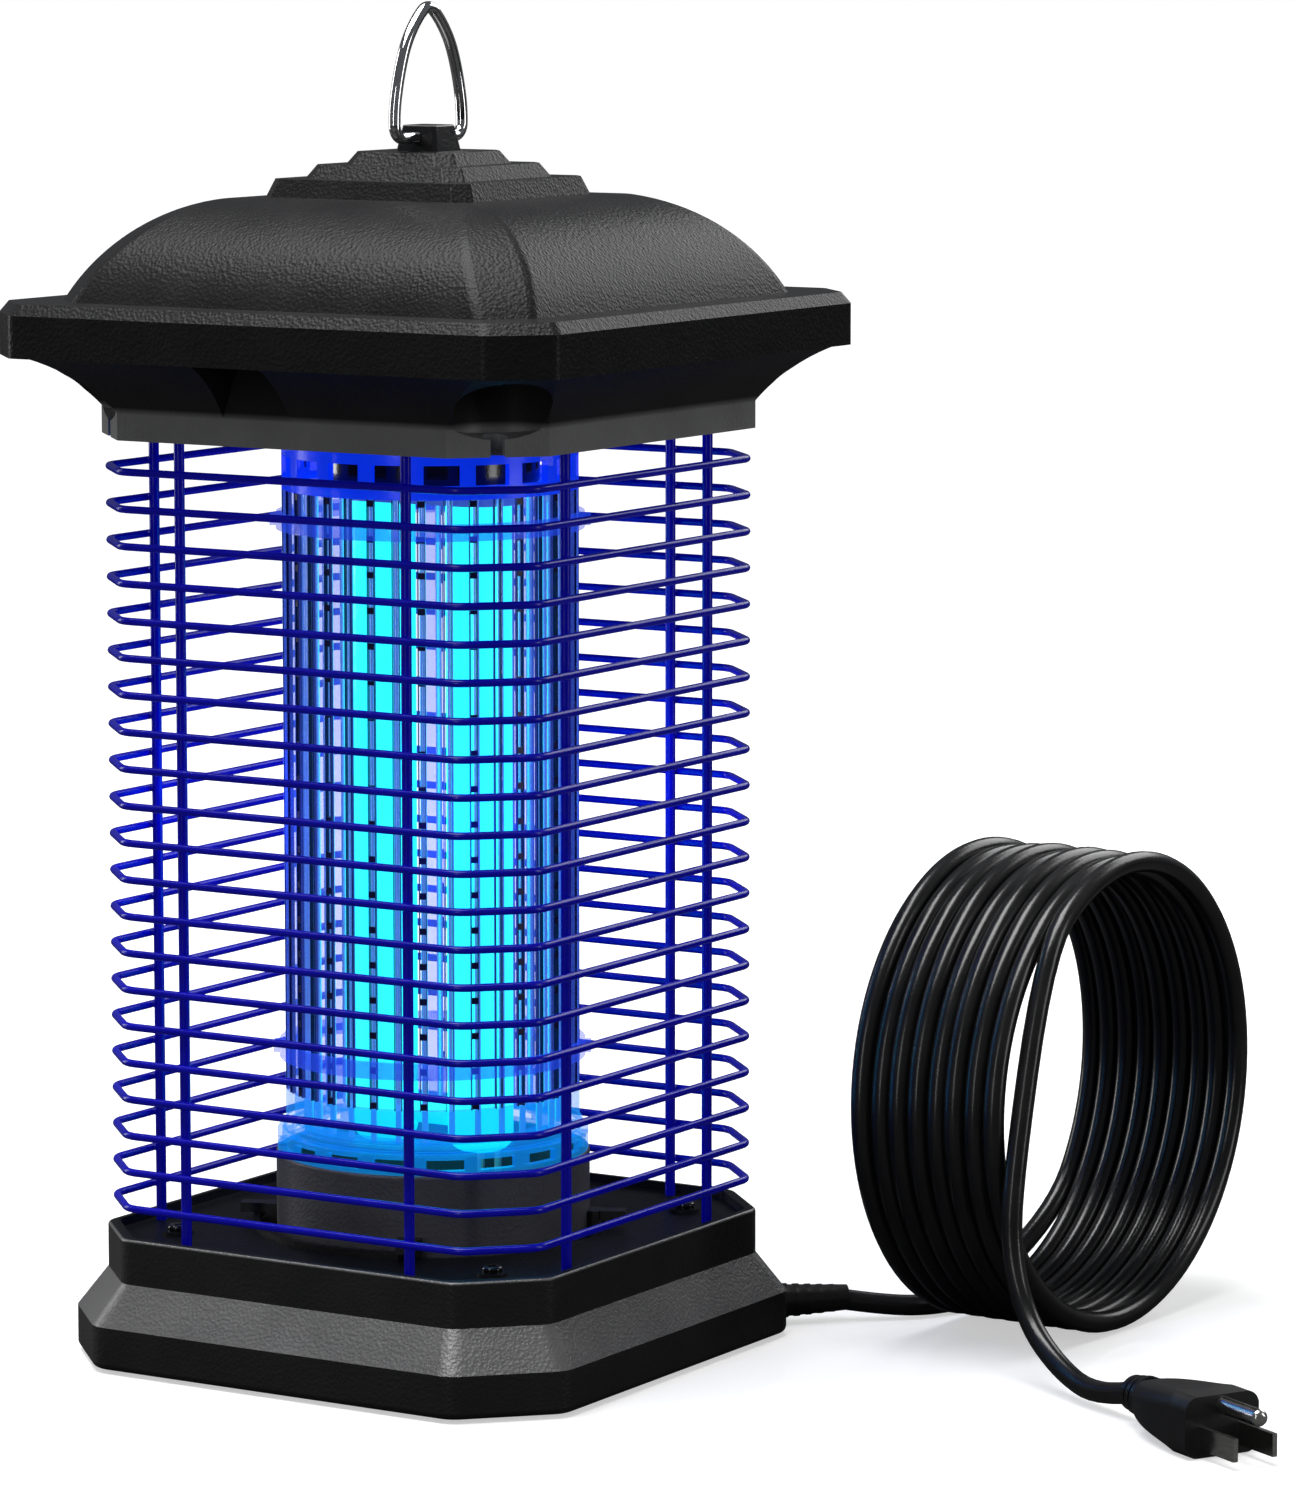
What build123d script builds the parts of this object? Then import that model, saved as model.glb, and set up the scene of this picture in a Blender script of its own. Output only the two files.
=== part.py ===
"""Lantern-shaped electric insect zapper: a moulded base and roof joined by a wire cage round a lamp.

Millimetres, +Z up. The origin is on the floor below the middle of the lantern. The cord leaves the
base at its (+X, +Y) corner and lies coiled beside it.
"""
import os
from math import atan2, cos, degrees, pi, radians, sin, sqrt, tan

from build123d import *

# Base: two stepped octagonal bands with a sloped skirt between them.
BASE_HALF = 84.3
BASE_CHAMFER = 23.7
STEP_HALF = 76.2
STEP_CHAMFER = 20.0
BASE_BOTTOM = 0.8
BAND_TOP = 13.3
SKIRT_TOP = 24.7
BASE_TOP = 37.8
DECK_TOP = 35.3
WALL = 2.5

# Round well in the middle of the base, for the collar above and the collection cup below.
TROUGH_RADIUS = 50.0
TROUGH_FLOOR = 30.5
WELL_RADIUS = 42.5
WELL_BOTTOM = 12.0

# Collection cup: a quarter turn on three sloped lugs lowers it.
CUP_RADIUS = 38.0
CUP_BOTTOM = 7.0
CUP_TOP = 26.5
CUP_FLANGE_RADIUS = 44.5
CUP_FLANGE = 2.2
CUP_TURN = 40.0
CUP_DROP = 4.0
LUG_HEIGHT = 20.0

# Column of insulators, sleeve, rods and lamp on the axis.
COLLAR_RADIUS = 45.5
COLLAR_TOP = 57.9
SLEEVE_RADIUS = 42.6
SLEEVE_WALL = 1.2
GRID_FLOOR = 66.0
SEAT_WINDOWS = 59.2, 62.4
SEAT_SHOULDER = 63.8
SLEEVE_BOTTOM = 76.0
SLEEVE_TOP = 250.0
ROD_CIRCLE = 36.5
LAMP_SPREAD = 16.5
LAMP_RADIUS = 9.5

# Wire cage.
UPRIGHT_PLANE = 69.8
UPRIGHT_OFFSET = 38.1
UPRIGHT_RADIUS = 1.5
RING_HALF = 72.5
RING_CHAMFER = 15.8
RING_BEND = 8.0
RING_RADIUS = 1.1
RING_COUNT = 21
RING_LOWEST = 46.0
RING_HIGHEST = 257.2

# Upper housing: a band, a cove above it, and the roof that covers it.
HOUSING_BOTTOM = 266.3
HOUSING_BAND_TOP = 274.2
HOUSING_HALF = 75.6
HOUSING_CHAMFER = 20.4
RIM_BOTTOM = 289.5
RIM_BEVEL = 301.5
RIM_TOP = 304.7
RIM_HALF = 93.7
RIM_CHAMFER = 14.6
DOME_HALF = 79.5
DOME_CHAMFER = 10.8
DOME_TOP = 333.4
DOME_TOP_HALF = 36.0
DOME_EDGE = 5.0
TIERS = [(35.3, 33.0, 338.5), (27.3, 24.4, 342.4), (19.0, 16.2, 346.0)]
LUG_BASE = 7.0
LUG_TOP_HALF = 5.6
LUG_RISE = 7.4
RING_PIVOT = 349.9
HANG_WIRE = 1.7
HANG_HALF = 17.3
HANG_ARCH = [(17.3, 8.5), (14.9, 18.3), (11.4, 26.8), (6.0, 33.4), (0.0, 37.9)]

# Cord, coil and plug.
CORD_RADIUS = 3.1
COIL_RADIUS = 67.4
COIL_YAW = -3.0
COIL_START = (109.0, 120.0)
COIL_LENGTH = 61.5
GLAND_HEIGHT = 6.6
GLAND_LENGTH = 22.0
PLUG_WIDTH = 24.0
PLUG_THICK = 17.0
PLUG_LENGTH = 34.5
BLADE_SPACING = 12.7


def octagon(half, chamfer, rounding=0.0):
    """A square with its corners cut off, and the eight angles rounded."""
    flat = half - chamfer
    corners = [(half, -flat), (half, flat), (flat, half), (-flat, half)]
    corners += [(-x, -y) for x, y in corners]
    face = make_face(Polyline(*corners, close=True))
    if rounding:
        face = fillet(face.vertices(), rounding)
    return face


def prism(half, chamfer, bottom, top, rounding=0.0):
    """An octagonal block between two heights."""
    return Pos(0, 0, bottom) * extrude(octagon(half, chamfer, rounding), top - bottom)


def taper(lower, upper, bottom, top):
    """A sloped octagonal block; lower and upper are (half, chamfer, rounding)."""
    return loft([Pos(0, 0, bottom) * octagon(*lower), Pos(0, 0, top) * octagon(*upper)], ruled=True)


def disc(radius, bottom, top, x=0.0, y=0.0):
    """A round bar standing on (x, y) between two heights."""
    return Pos(x, y, (bottom + top) / 2) * Cylinder(radius, top - bottom)


def pipe(outer, inner, bottom, top):
    """A round tube on the axis."""
    return disc(outer, bottom, top) - disc(inner, bottom - 1, top + 1)


def block(x0, x1, y0, y1, z0, z1):
    """A box between two corners."""
    return Pos((x0 + x1) / 2, (y0 + y1) / 2, (z0 + z1) / 2) * Box(x1 - x0, y1 - y0, z1 - z0)


def vault(side, diagonal):
    """A square-plan solid cut by one outline on both sides and another across its corners.

    Each outline is a closed face drawn in (distance from the axis, height).
    """
    reach = 2 * RIM_HALF
    along_x = extrude(Plane.XZ * side, reach, both=True)
    along_y = Rot(0, 0, 90) * along_x
    corner = extrude(Plane.XZ * diagonal, reach, both=True)
    return along_x & along_y & (Rot(0, 0, 45) * corner) & (Rot(0, 0, -45) * corner)


def arched(low, middle, high, floor, roof):
    """A symmetric outline whose sides are arcs through three (half width, height) points."""
    right = ThreePointArc(low, middle, high)
    left = ThreePointArc((-high[0], high[1]), (-middle[0], middle[1]), (-low[0], low[1]))
    bottom = Polyline((-low[0], low[1]), (-low[0], floor), (low[0], floor), low)
    top = Polyline(high, (high[0], roof), (-high[0], roof), (-high[0], high[1]))
    return make_face([bottom, right, top, left])


def diagonal_reach(half, chamfer):
    """How far from the axis the flat of a cut corner is."""
    return (2 * half - chamfer) / sqrt(2)


def four_ways(item):
    """The same piece at the four quarter turns."""
    return [Rot(0, 0, 90 * k) * item for k in range(4)]


def corner_spots(x, y):
    """A place and its mirror images in both vertical planes."""
    return [(sx * x, sy * y) for sx in (-1, 1) for sy in (-1, 1)]


def group(items):
    """Separate solids kept in one node."""
    return Compound(children=[s for item in items for s in item.solids()])


def screw(x, y, bottom, top, head_radius, shank_radius, head, up=True):
    """A pan-head screw with a cross recess; its head is at the top, or at the bottom."""
    length = top - bottom
    shank = Pos(0, 0, (length - head) / 2) * Cylinder(shank_radius, length - head)
    cap = Pos(0, 0, length - head / 2) * Cylinder(head_radius, head)
    cap = fillet(cap.edges().filter_by(GeomType.CIRCLE).sort_by(Axis.Z)[-1:], head * 0.45)
    cross = Box(head_radius, 0.8, head) + Box(0.8, head_radius, head)
    body = shank + cap - Pos(0, 0, length) * cross
    if up:
        return Pos(x, y, bottom) * body
    return Pos(x, y, top) * Rot(180, 0, 0) * body


# ---------------------------------------------------------------- base

LEDGE_TILT = degrees(atan2(CUP_DROP / radians(CUP_TURN), CUP_RADIUS + 2))
SCREW_SPOTS = corner_spots(54.0, 52.0)
FOOT_SPOTS = corner_spots(60.0, 60.0)


def base_shell():
    band = prism(BASE_HALF, BASE_CHAMFER, BASE_BOTTOM, BAND_TOP, 9.0)
    band = fillet(band.faces().sort_by(Axis.Z)[0].edges(), 2.0)
    skirt = taper((BASE_HALF, BASE_CHAMFER, 9.0), (STEP_HALF, STEP_CHAMFER, 7.0), BAND_TOP, SKIRT_TOP)
    step = prism(STEP_HALF, STEP_CHAMFER, SKIRT_TOP, BASE_TOP, 7.0)
    step = fillet(step.faces().sort_by(Axis.Z)[-1].edges(), 1.0)
    outer = band + skirt + step
    low = prism(BASE_HALF - WALL, BASE_CHAMFER, BASE_BOTTOM - 1, BAND_TOP - 1, 7.0)
    slope = taper(
        (BASE_HALF - WALL, BASE_CHAMFER, 7.0),
        (STEP_HALF - WALL, STEP_CHAMFER, 5.0),
        BAND_TOP - 1,
        SKIRT_TOP - 1,
    )
    high = prism(STEP_HALF - WALL, STEP_CHAMFER, SKIRT_TOP - 1, DECK_TOP - WALL, 5.0)
    tray = prism(STEP_HALF - WALL, STEP_CHAMFER, DECK_TOP, BASE_TOP + 1, 5.0)
    return outer - low - slope - high - tray


def well():
    """Trough round the collar, the tube that guides the cup, and the three sloped ledges."""
    trough = pipe(TROUGH_RADIUS + WALL, TROUGH_RADIUS, TROUGH_FLOOR - WALL, DECK_TOP)
    floor = pipe(TROUGH_RADIUS + WALL, COLLAR_RADIUS - 5.5, TROUGH_FLOOR - WALL, TROUGH_FLOOR)
    guide = pipe(WELL_RADIUS + WALL, WELL_RADIUS, WELL_BOTTOM, TROUGH_FLOOR)
    lip = pipe(TROUGH_RADIUS + WALL, TROUGH_RADIUS + 0.5, DECK_TOP, DECK_TOP + 2.0)
    keep = block(-60, 20, -60, 60, DECK_TOP, BASE_TOP)
    body = trough + floor + guide + (lip & keep)
    ledge = Pos(WELL_RADIUS - 1.2, -1, LUG_HEIGHT - 2.9) * Rot(LEDGE_TILT, 0, 0) * Box(4.0, 18, 2.2)
    for k in range(3):
        body += Rot(0, 0, 120 * k) * ledge
    return body


def base_housing():
    body = base_shell() - disc(TROUGH_RADIUS + 1, DECK_TOP - 4, BASE_TOP + 1) + well()
    for x, y in SCREW_SPOTS:
        body += disc(4.5, DECK_TOP - 1, DECK_TOP + 1.0, x, y)
        body += disc(4.0, 8.0, DECK_TOP - 1, x, y)
        body -= disc(1.4, 7.0, 24.0, x, y)
        body -= disc(1.4, 28.0, 40.0, x, y)
    for x, y in upright_spots():
        body += disc(3.6, DECK_TOP - 6, DECK_TOP, x, y)
        body -= disc(UPRIGHT_RADIUS + 0.1, DECK_TOP - 4.5, BASE_TOP + 1, x, y)
    reach = diagonal_reach(BASE_HALF, BASE_CHAMFER)
    passage = Pos(reach, 0, GLAND_HEIGHT) * Rot(0, 90, 0) * Cylinder(4.2, 20)
    return body - Rot(0, 0, 45) * passage


def bottom_plate():
    plate = prism(BASE_HALF - WALL - 0.4, BASE_CHAMFER, 1.8, 4.0, 7.0)
    plate -= disc(CUP_FLANGE_RADIUS + 2, 0, 6)
    rib = pipe(CUP_FLANGE_RADIUS + 4.5, CUP_FLANGE_RADIUS + 2.5, 4.0, 9.0)
    plate += rib
    for x, y in SCREW_SPOTS:
        plate += disc(4.0, 4.0, 7.9, x, y)
        plate -= disc(1.8, 0, 9, x, y)
        plate -= disc(3.4, 1, 3.6, x, y)
    for x, y in FOOT_SPOTS:
        plate -= disc(6.2, 1, 2.8, x, y)
    notch = Rot(0, 0, 45) * Pos(diagonal_reach(BASE_HALF, BASE_CHAMFER), 0, 5) * Box(30, 12, 12)
    return plate - notch


def rubber_feet():
    feet = []
    for x, y in FOOT_SPOTS:
        foot = disc(6.0, 0, 2.7, x, y)
        feet.append(fillet(foot.faces().sort_by(Axis.Z)[0].edges(), 0.6))
    return group(feet)


def bottom_plate_screws():
    return group([screw(x, y, 2.0, 16.0, 3.0, 1.35, 1.6, up=False) for x, y in SCREW_SPOTS])


def deck_screws():
    return group([screw(x, y, 29.0, DECK_TOP + 2.7, 3.0, 1.35, 1.7) for x, y in SCREW_SPOTS])


def collar():
    body = pipe(COLLAR_RADIUS, COLLAR_RADIUS - 3.0, TROUGH_FLOOR, COLLAR_TOP)
    rim = body.edges().filter_by(GeomType.CIRCLE).group_by(Axis.Z)[-1].sort_by(SortBy.RADIUS)[-1:]
    return fillet(rim, 0.8)


def collar_catches():
    """Four hooks on the deck that snap over the foot of the collar."""
    stem = block(COLLAR_RADIUS + 0.3, COLLAR_RADIUS + 3.3, -3.5, 3.5, TROUGH_FLOOR, DECK_TOP + 5)
    finger = block(COLLAR_RADIUS + 0.3, COLLAR_RADIUS + 11, -2.6, 2.6, DECK_TOP + 2.2, DECK_TOP + 5)
    hook = Rot(0, 0, 25) * (stem + finger)
    return group(four_ways(hook))


def collection_cup():
    body = disc(CUP_FLANGE_RADIUS, CUP_BOTTOM, CUP_BOTTOM + CUP_FLANGE)
    body = fillet(body.faces().sort_by(Axis.Z)[0].edges(), 1.0)
    body += disc(CUP_RADIUS, CUP_BOTTOM + 1, CUP_TOP)
    body -= disc(CUP_RADIUS - 2, CUP_BOTTOM + CUP_FLANGE, CUP_TOP + 1)
    body += disc(21.8, CUP_BOTTOM + 1, CUP_BOTTOM + 11)
    body -= disc(20.0, CUP_BOTTOM - 1, CUP_BOTTOM + 9.2)
    body += block(-20.5, 20.5, -3.0, 3.0, CUP_BOTTOM, CUP_BOTTOM + 10)
    lug = Pos(CUP_RADIUS + 1.2, 0, LUG_HEIGHT) * Rot(LEDGE_TILT, 0, 0) * Box(4.4, 11, 2.4)
    for k in range(3):
        body += Rot(0, 0, 120 * k) * lug - disc(CUP_RADIUS - 1, 0, 40)
    return body


def cup_seal():
    top = WELL_BOTTOM - 0.3
    return pipe(CUP_FLANGE_RADIUS - 0.5, CUP_RADIUS + 0.4, CUP_BOTTOM + CUP_FLANGE + 0.3, top)


# ---------------------------------------------------------------- electrics in the base

BOARD_BOTTOM = 10.0


def power_board():
    """Board shaped round the well, on the -X and -Y sides."""
    sheet = prism(70.0, 24.0, BOARD_BOTTOM, BOARD_BOTTOM + 1.6)
    sheet -= disc(50.0, 0, 40)
    sheet -= block(-20, 90, -20, 90, 0, 40)
    for x, y in SCREW_SPOTS:
        sheet -= disc(5.0, 0, 40, x, y)
    return sheet


def hv_transformer():
    x, y = -60.0, 25.0
    base = BOARD_BOTTOM + 1.6
    core = block(x - 7, x + 7, y - 12, y + 6, base, base + 3)
    core += block(x - 7, x + 7, y - 12, y + 6, base + 11, base + 13.5)
    return core + block(x - 5.5, x + 5.5, y - 10, y + 4, base + 2, base + 12)


def hv_capacitors():
    base = BOARD_BOTTOM + 1.6
    spots = [(-62, -14), (-62, -27), (18, -60), (31, -60)]
    cans = [disc(5.0, base, base + 13, x, y) for x, y in spots]
    return group([fillet(c.faces().sort_by(Axis.Z)[-1].edges(), 0.8) for c in cans])


def terminal_block():
    base = BOARD_BOTTOM + 1.6
    body = block(-30, -4, -64, -54, base, base + 10)
    for x in (-25, -17, -9):
        body -= disc(2.0, base + 4, base + 11, x, -59)
    return body


def cord_gland():
    """Grommet in the base wall with a tapered, ribbed strain relief outside it."""
    reach = diagonal_reach(BASE_HALF, BASE_CHAMFER)
    outside = Circle(4.9)
    tip = Pos(0, 0, GLAND_LENGTH) * Circle(CORD_RADIUS + 0.7)
    body = Pos(0, 0, 0.2) * loft([outside, tip])
    body += Pos(0, 0, -3.0) * Cylinder(4.0, 6.6)
    body += Pos(0, 0, -5.2) * Cylinder(5.0, 2.0)
    for k in range(5):
        z = 3.0 + 3.6 * k
        body += Pos(0, 0, z) * Cylinder(5.1 - 0.24 * k, 1.5)
    body -= Pos(0, 0, GLAND_LENGTH) * Cylinder(CORD_RADIUS, 8.0)
    return Rot(0, 0, 45) * Pos(reach, 0, GLAND_HEIGHT) * Rot(0, 90, 0) * body


# ---------------------------------------------------------------- lamp and grid


def windowed(outer, wall, bottom, top, low, high):
    """An insulator ring pierced by eighteen windows, 14 degrees wide, every 20 degrees."""
    ring = pipe(outer, outer - wall, bottom, top)
    width = 2 * outer * sin(radians(7))
    cutter = block(outer - wall - 4, outer + 4, -width / 2, width / 2, low, high)
    for k in range(18):
        ring -= Rot(0, 0, 20 * k + 8) * cutter
    return ring


def grid_ring_bottom():
    """Windowed foot on the collar, and above its shoulder the plain seat of the sleeve."""
    foot = windowed(COLLAR_RADIUS - 0.4, 2.6, COLLAR_TOP, SEAT_SHOULDER, *SEAT_WINDOWS)
    plate = pipe(COLLAR_RADIUS - 2, 32.0, GRID_FLOOR - 1.6, GRID_FLOOR)
    shoulder = pipe(COLLAR_RADIUS - 0.4, SLEEVE_RADIUS - 2.6, SEAT_SHOULDER - 1.2, SEAT_SHOULDER)
    seat = pipe(SLEEVE_RADIUS, SLEEVE_RADIUS - 2.6, SEAT_SHOULDER - 0.6, SLEEVE_BOTTOM)
    return foot + shoulder + seat + plate


def grid_ring_top():
    ring = windowed(SLEEVE_RADIUS, 2.6, SLEEVE_TOP, HOUSING_BOTTOM, 253.8, 259.7)
    plate = pipe(SLEEVE_RADIUS - 1, 32.0, SLEEVE_TOP, SLEEVE_TOP + 1.8)
    return ring + plate


def grid_sleeve():
    """Guard sleeve of thirty-six slats, open between them, in four tall bays."""
    sleeve = pipe(SLEEVE_RADIUS, SLEEVE_RADIUS - SLEEVE_WALL, SLEEVE_BOTTOM, SLEEVE_TOP)
    bays = 4
    band = 4.0
    bay = (SLEEVE_TOP - SLEEVE_BOTTOM - band) / bays
    cutters = []
    for row in range(bays):
        low = SLEEVE_BOTTOM + band + row * bay
        bar = block(-SLEEVE_RADIUS - 2, SLEEVE_RADIUS + 2, -2.3, 2.3, low, low + bay - band)
        cutters += [Rot(0, 0, 10 * k) * bar for k in range(18)]
    return sleeve - cutters


def sleeve_hoops():
    """Two clamping hoops round the sleeve, each with four knobs."""
    hoops = []
    for height in (87.6, 240.9):
        hoop = pipe(SLEEVE_RADIUS + 1.7, SLEEVE_RADIUS + 0.05, height - 2.4, height + 2.4)
        for k in range(4):
            hoop += Rot(0, 0, 90 * k + 31) * Pos(SLEEVE_RADIUS + 1.9, 0, height) * Box(3, 5, 3.4)
        hoops.append(hoop - disc(SLEEVE_RADIUS + 0.05, 0, 300))
    return group(hoops)


def grid_rods():
    """High-voltage rods standing in a circle between the two insulator rings."""
    low, high = GRID_FLOOR, SLEEVE_TOP
    rods = []
    for k in range(30):
        angle = radians(12 * k)
        rods.append(disc(0.9, low, high, ROD_CIRCLE * cos(angle), ROD_CIRCLE * sin(angle)))
    return group(rods)


def lamp_glass():
    """Two straight glass limbs joined by a bridge near their lower ends."""
    low, high = 58.5, 246.0
    limbs = [disc(LAMP_RADIUS, low, high, s * LAMP_SPREAD, 0) for s in (-1, 1)]
    rounded = [fillet(limb.faces().sort_by(Axis.Z)[0].edges(), 5.0) for limb in limbs]
    bridge = Pos(0, 0, low + 10) * Rot(0, 90, 0) * Cylinder(4.0, 2 * LAMP_SPREAD)
    return rounded[0] + rounded[1] + bridge


def lamp_cap():
    cap = Pos(0, 0, 246.0) * extrude(SlotOverall(56.0, 23.0), 10.0)
    pins = [disc(1.2, 255.0, 262.0, x, y) for x, y in corner_spots(8.0, 3.0)]
    for pin in pins:
        cap += pin
    return cap


def lamp_holder():
    body = disc(31.5, 252.1, HOUSING_BOTTOM) - disc(28.6, 250.0, 256.1)
    for x, y in corner_spots(8.0, 3.0):
        body -= disc(1.5, 250, 263.0, x, y)
    return body


def lamp_leads():
    """Two insulated leads from the board up to the lamp holder, inside the rods."""
    leads = []
    for x in (-3.0, 3.0):
        leads.append(disc(1.1, 27.0, 252.0, x, 30.0))
    return group(leads)


# ---------------------------------------------------------------- cage


def upright_spots():
    spots = []
    for side in (-UPRIGHT_OFFSET, UPRIGHT_OFFSET):
        for face in (-UPRIGHT_PLANE, UPRIGHT_PLANE):
            spots += [(side, face), (face, side)]
    return spots


def cage_uprights():
    low = DECK_TOP - 4.4
    high = HOUSING_BOTTOM + 4.0
    return group([disc(UPRIGHT_RADIUS, low, high, x, y) for x, y in upright_spots()])


def cage_ring(height):
    """One bent and welded wire, a square with cut corners."""
    flat = RING_HALF - RING_CHAMFER
    half = RING_HALF
    corners = [(half, -flat), (half, flat), (flat, half), (-flat, half)]
    corners += [(-x, -y) for x, y in corners]
    points = [(x, y, height) for x, y in corners]
    path = FilletPolyline(*points, radius=RING_BEND, close=True)
    section = (path ^ 0) * Circle(RING_RADIUS)
    return sweep(section, path=path)


# ---------------------------------------------------------------- upper housing and roof


def housing_form(shrink, floor):
    """The band with the cove over it; shrink gives the form of the hollow inside."""
    side = arched(
        (HOUSING_HALF - shrink, HOUSING_BAND_TOP),
        (81.5 - shrink, 282.3),
        (91.0 - shrink, RIM_BOTTOM),
        floor,
        RIM_BOTTOM + 1,
    )
    corner = arched(
        (diagonal_reach(HOUSING_HALF, HOUSING_CHAMFER) - shrink, HOUSING_BAND_TOP),
        (diagonal_reach(81.5, 18.5) - shrink, 282.3),
        (diagonal_reach(91.0, 16.0) - shrink, RIM_BOTTOM),
        floor,
        RIM_BOTTOM + 1,
    )
    return vault(side, corner)


CORNER_REACH = diagonal_reach(HOUSING_HALF, HOUSING_CHAMFER)
SCREW_REACH = CORNER_REACH - 3.0
TAB_BOTTOM = 287.7


def at_corners(shape):
    """The shape, drawn towards +X, in each of the four cut corners."""
    return four_ways(Rot(0, 0, 45) * shape)


def corner_pocket():
    """Upright round pocket with a dished floor; a tab for the screw stays at its top."""
    bowl = disc(13.6, 265.0, RIM_BOTTOM + 1, CORNER_REACH + 6.5)
    bowl &= Pos(CORNER_REACH + 2.0, 0, 299.6) * Sphere(28.6)
    return bowl - disc(6.0, TAB_BOTTOM, RIM_BOTTOM + 2, SCREW_REACH)


def side_recess():
    """Finger recess in the cove of the -Y side; its back wall leans inward from the band."""
    return Pos(-7.5, -71.5, 282.0) * Rot(-27.6, 0, 0) * Pos(0, -20, 0) * Box(22.6, 40, 17.4)


def upper_housing():
    hollow = housing_form(WALL + 0.5, HOUSING_BOTTOM + 3)
    for tower in at_corners(disc(15.6, HOUSING_BOTTOM, RIM_BOTTOM + 2, CORNER_REACH + 3)):
        hollow -= tower
    hollow -= block(-22, 7, -95, -62.0, HOUSING_BOTTOM, RIM_BOTTOM + 2)
    for x, y in upright_spots():
        hollow -= disc(3.6, HOUSING_BOTTOM, HOUSING_BOTTOM + 6, x, y)
    body = housing_form(0, HOUSING_BOTTOM) - block(-200, 200, -200, 200, RIM_BOTTOM, 400) - hollow
    for pocket in at_corners(corner_pocket()):
        body -= pocket
    for hole in at_corners(disc(3.6, 260, 280, SCREW_REACH) + disc(1.9, 279, RIM_BOTTOM + 1, SCREW_REACH)):
        body -= hole
    body -= side_recess()
    for x, y in upright_spots():
        body -= disc(UPRIGHT_RADIUS + 0.1, HOUSING_BOTTOM - 2, HOUSING_BOTTOM + 4.2, x, y)
    return body - disc(8.0, HOUSING_BOTTOM - 1, HOUSING_BOTTOM + 4)


def housing_screws():
    one = Pos(SCREW_REACH, 0, 0) * screw(0, 0, TAB_BOTTOM - 2.0, 303.0, 3.2, 1.5, 2.0, up=False)
    return group(at_corners(one))


def dome(shrink):
    low, high = (DOME_HALF - shrink, RIM_TOP - 1), (DOME_TOP_HALF, DOME_TOP - shrink)
    middle = (DOME_HALF - 12.0 - shrink * 0.8, 321.6 - shrink * 0.6)
    side = arched(low, middle, high, RIM_BEVEL - 4, high[1] + 0.01)
    reach = [diagonal_reach(w, DOME_CHAMFER) for w, z in (low, middle, high)]
    corner = arched(
        (reach[0], low[1]), (reach[1], middle[1]), (reach[2], high[1]), RIM_BEVEL - 4, high[1] + 0.01
    )
    return vault(side, corner)


def soft_dome():
    """The dome with its eight curved corner edges rounded."""
    body = dome(0)
    curved = [e for e in body.edges() if e.bounding_box().size.Z > 10 and e.geom_type != GeomType.LINE]
    return fillet(curved, DOME_EDGE)


def roof_cover():
    rim = prism(RIM_HALF, RIM_CHAMFER, RIM_BOTTOM, RIM_BEVEL, 4.0)
    rim += taper((RIM_HALF, RIM_CHAMFER, 4.0), (RIM_HALF - 2.4, RIM_CHAMFER - 1, 4.0), RIM_BEVEL, RIM_TOP)
    body = rim + soft_dome()
    bottom = DOME_TOP
    for lower, upper, top in TIERS:
        body += taper((lower, 4.5, 0.8), (upper, 4.0, 0.8), bottom - 0.4, top)
        bottom = top
    hollow = prism(RIM_HALF - WALL, RIM_CHAMFER, RIM_BOTTOM - 1, RIM_TOP - WALL) + dome(WALL)
    for boss in at_corners(disc(4.5, RIM_BOTTOM, RIM_TOP + 25, SCREW_REACH)):
        hollow -= boss
    body -= hollow
    for hole in at_corners(disc(1.55, 280, 303.5, SCREW_REACH)):
        body -= hole
    return body - disc(3.2, 320, 360)


def roof_seal():
    return prism(90.7, 16.0, RIM_BOTTOM, RIM_BOTTOM + 1.5) - prism(88.3, 16.0, 200, 400)


# ---------------------------------------------------------------- hanger


def hanger_lug():
    low = TIERS[-1][2]
    body = taper((LUG_BASE, 1.0, 0.0), (LUG_TOP_HALF, 1.0, 0.0), low, low + LUG_RISE)
    body = fillet(body.faces().sort_by(Axis.Z)[-1].edges(), 0.5)
    body += disc(3.0, low - 15, low + 1)
    body += disc(2.0, low - 21, low - 14)
    bore = Pos(0, 0, RING_PIVOT) * Rot(90, 0, 0) * Cylinder(HANG_WIRE + 0.08, 4 * LUG_BASE)
    return body - bore


def lug_washer():
    return pipe(8.0, 2.2, TIERS[-1][2] - 16.6, TIERS[-1][2] - 15.3)


def lug_nut():
    low = TIERS[-1][2] - 20.3
    return Pos(0, 0, low) * extrude(RegularPolygon(4.2, 6), 3.5) - disc(2.05, 300, 400)


def hanging_ring():
    """Wire bent to a tall round arch; its straight foot runs through the lug."""
    right = [(HANG_HALF, 0.0)] + HANG_ARCH[:-1]
    outline = right + [HANG_ARCH[-1]] + [(-y, z) for y, z in reversed(right)]
    points = [Vector(0, y, RING_PIVOT + z) for y, z in outline]
    radii = []
    for k, b in enumerate(points):
        a, c = points[k - 1], points[(k + 1) % len(points)]
        turn = radians((b - a).get_angle(c - b))
        radii.append(0.48 * min((b - a).length, (c - b).length) / tan(turn / 2))
    radii[0] = radii[-1] = 3.8
    path = FilletPolyline(*points, radius=radii, close=True)
    return sweep((path ^ 0) * Circle(HANG_WIRE), path=path)


# ---------------------------------------------------------------- cord, coil and plug


def turn_radii(points):
    """The largest arc for each corner of a route: 0.45 of the shorter run."""
    places = [Vector(*p) for p in points]
    radii = []
    for a, b, c in zip(places, places[1:], places[2:]):
        turn = radians((b - a).get_angle(c - b))
        radii.append(0.45 * min((b - a).length, (c - b).length) / tan(turn / 2))
    return radii


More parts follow.
